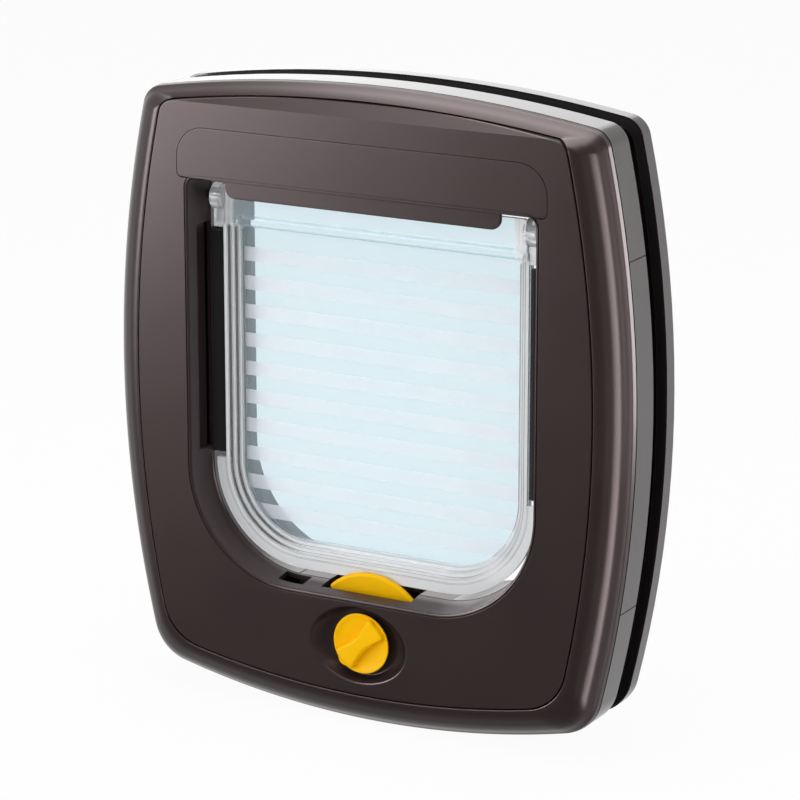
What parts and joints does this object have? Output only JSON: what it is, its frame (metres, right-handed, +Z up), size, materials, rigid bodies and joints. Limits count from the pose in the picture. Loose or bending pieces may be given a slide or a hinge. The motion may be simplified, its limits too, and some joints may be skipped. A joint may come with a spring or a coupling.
{
  "type": "pet door",
  "caption": "Pet door with a barrel-sided housing, a clear swinging flap on head pins, side draught strips and a rotary dial whose two cams stop the swing either way.",
  "frame": {"origin": "centre of the bounding box, level with the middle of the 252 mm height and on the inner face of the door", "axes": "+X to the right seen from the room, +Y through the door to the outside, +Z up"},
  "size_m": [0.225, 0.05, 0.252],
  "materials": {
    "brown_plastic": "satin",
    "clear_plastic": "clear",
    "yellow_plastic": "satin",
    "black_rubber": "matte",
    "dark_plastic": "matte",
    "steel": "bright",
    "magnet": "dull",
    "white_nylon": "matte"
  },
  "bodies": {
    "housing": {"trim_frame": "brown_plastic", "face_panel": "brown_plastic", "hinge_cover": "brown_plastic", "inner_base": "brown_plastic", "inner_liner": "brown_plastic", "sill_plate": "brown_plastic", "sill_magnet": "magnet", "strip_holder_left": "dark_plastic", "strip_holder_right": "dark_plastic", "draught_strip_left": "black_rubber", "draught_strip_right": "black_rubber", "bush_left": "white_nylon", "bush_right": "white_nylon", "bearing_cap_left": "brown_plastic", "bearing_cap_right": "brown_plastic", "cap_screws": "steel", "detent_spring": "steel", "fixing_screws": "steel", "outer_frame": "brown_plastic", "outer_gasket": "black_rubber", "outer_tunnel": "brown_plastic"},
    "flap": {"flap": "clear_plastic", "flap_magnet": "magnet", "pivot_pin_left": "steel", "pivot_pin_right": "steel"},
    "dial": {"lock_knob": "yellow_plastic", "lock_spindle": "white_nylon", "front_cam": "yellow_plastic", "rear_cam": "yellow_plastic"}
  },
  "joints": [
    {"name": "flap_swing", "type": "hinge", "parent": "housing", "child": "flap", "pos_m": [0, -0.011, 0.0762], "axis": [1, 0, 0], "range_deg": [0, 85]},
    {"name": "dial_turn", "type": "hinge", "parent": "housing", "child": "dial", "pos_m": [0, -0.013, -0.0922], "axis": [0, 1, 0], "range_deg": [-90, 180]}
  ]
}
